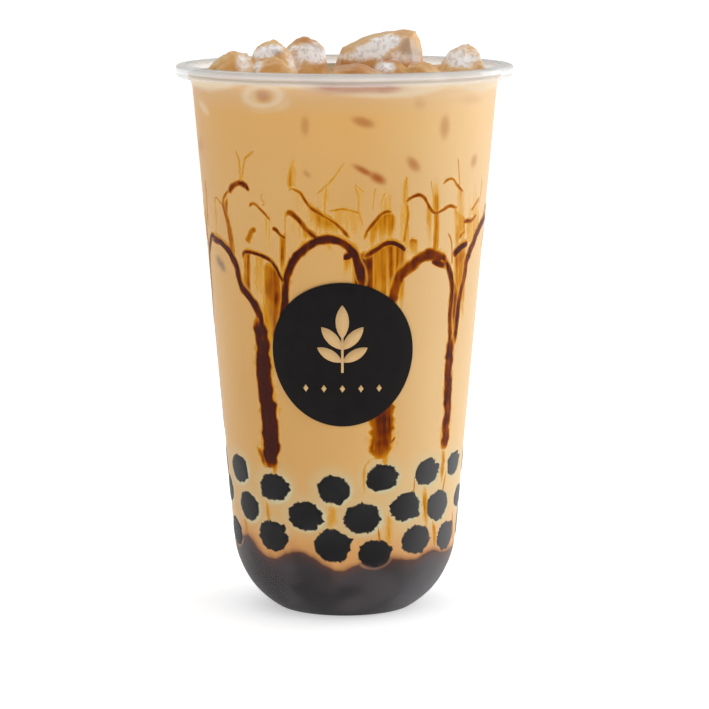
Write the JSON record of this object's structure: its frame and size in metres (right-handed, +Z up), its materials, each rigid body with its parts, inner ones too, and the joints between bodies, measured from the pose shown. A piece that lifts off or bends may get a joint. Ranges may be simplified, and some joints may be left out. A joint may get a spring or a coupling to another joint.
{
  "type": "bubble tea",
  "caption": "Iced milk tea with tapioca pearls, brown sugar streaks and ice in a clear round-bottomed open cup with a plain round print.",
  "frame": {"origin": "centre of the cup's flat base", "axes": "+Z up along the cup's axis, -Y is the front with the round print"},
  "size_m": [0.095, 0.095, 0.164],
  "materials": {
    "clear_plastic": "clear, glossy",
    "milk_tea": "opaque liquid",
    "tapioca": "soft gloss",
    "ice": "wet, cloudy",
    "black_print": "satin print"
  },
  "bodies": {
    "root": {"cup": "clear_plastic", "drink": "milk_tea", "pearls": "tapioca", "ice_left": "ice", "ice_left_tall": "ice", "ice_left_front": "ice", "ice_middle_back": "ice", "ice_large": "ice", "ice_front": "ice", "ice_small": "ice", "ice_right_front": "ice", "ice_right": "ice", "ice_back": "ice", "ice_right_back": "ice", "print": "black_print"}
  },
  "joints": []
}
